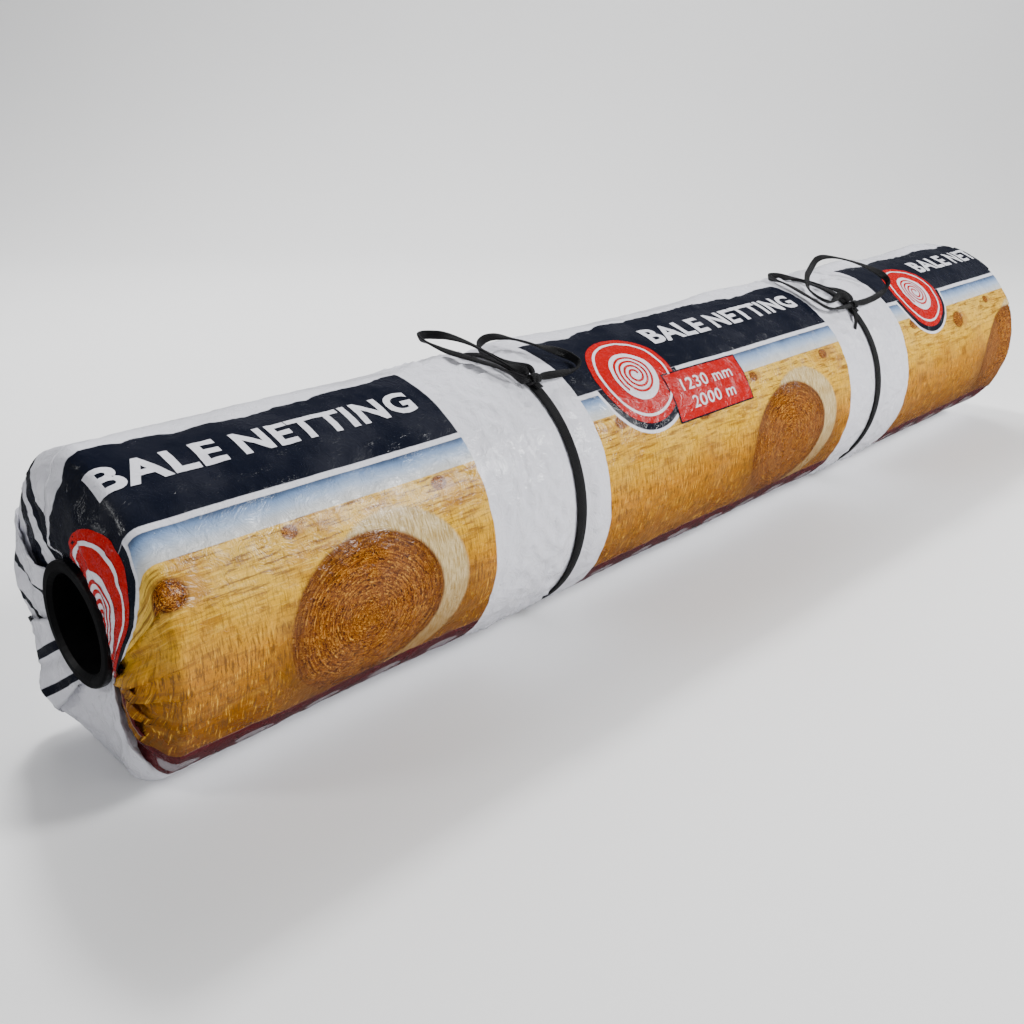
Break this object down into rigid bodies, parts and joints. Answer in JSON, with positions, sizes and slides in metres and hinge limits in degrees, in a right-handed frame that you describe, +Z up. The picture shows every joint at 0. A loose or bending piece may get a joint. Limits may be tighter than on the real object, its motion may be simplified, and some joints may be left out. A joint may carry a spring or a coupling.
{
  "type": "wrapped bale netting roll",
  "caption": "Roll of bale netting on a core tube, in a printed film sleeve gathered at both ends, plugged at the core and tied round with flat cord in bows.",
  "frame": {"origin": "middle of the roll's length, on the surface that its flattened underside lies on", "axes": "+X along the roll, from the near end to the far end; +Z up; -Y is the side that the bows are tied on"},
  "size_m": [1.2542, 0.2276, 0.25],
  "materials": {
    "core_tube": "satin black extruded plastic",
    "net_roll": "knitted white plastic tape netting, tightly wound",
    "film_sleeve": "glossy printed film with creases",
    "tape": "glossy packing tape",
    "end_plug": "satin black moulded plastic",
    "cord": "flat woven black cord"
  },
  "bodies": {
    "roll": {"core_tube": "core_tube", "net_roll": "net_roll", "film_sleeve": "film_sleeve", "tape_strip_left": "tape", "tape_strip_middle": "tape", "tape_strip_right": "tape", "near_cord_band": "cord", "near_cord_knot": "cord", "far_cord_band": "cord", "far_cord_knot": "cord"},
    "near_plug": {"near_end_plug": "end_plug"},
    "far_plug": {"far_end_plug": "end_plug"},
    "near_bow": {"near_bow_loop_left": "cord", "near_bow_loop_right": "cord"},
    "far_bow": {"far_bow_loop_left": "cord", "far_bow_loop_right": "cord"}
  },
  "joints": [
    {"name": "near_plug_pull", "type": "slide", "parent": "roll", "child": "near_plug", "axis": [-1, 0, 0], "range_m": [0, 0.035]},
    {"name": "far_plug_pull", "type": "slide", "parent": "roll", "child": "far_plug", "axis": [1, 0, 0], "range_m": [0, 0.035]},
    {"name": "near_bow_lift", "type": "hinge", "parent": "roll", "child": "near_bow", "pos_m": [-0.253, -0.05774, 0.21617], "axis": [1, 0, 0], "range_deg": [0, 100]},
    {"name": "far_bow_lift", "type": "hinge", "parent": "roll", "child": "far_bow", "pos_m": [0.244, -0.07168, 0.20712], "axis": [1, 0, 0], "range_deg": [0, 100]}
  ]
}
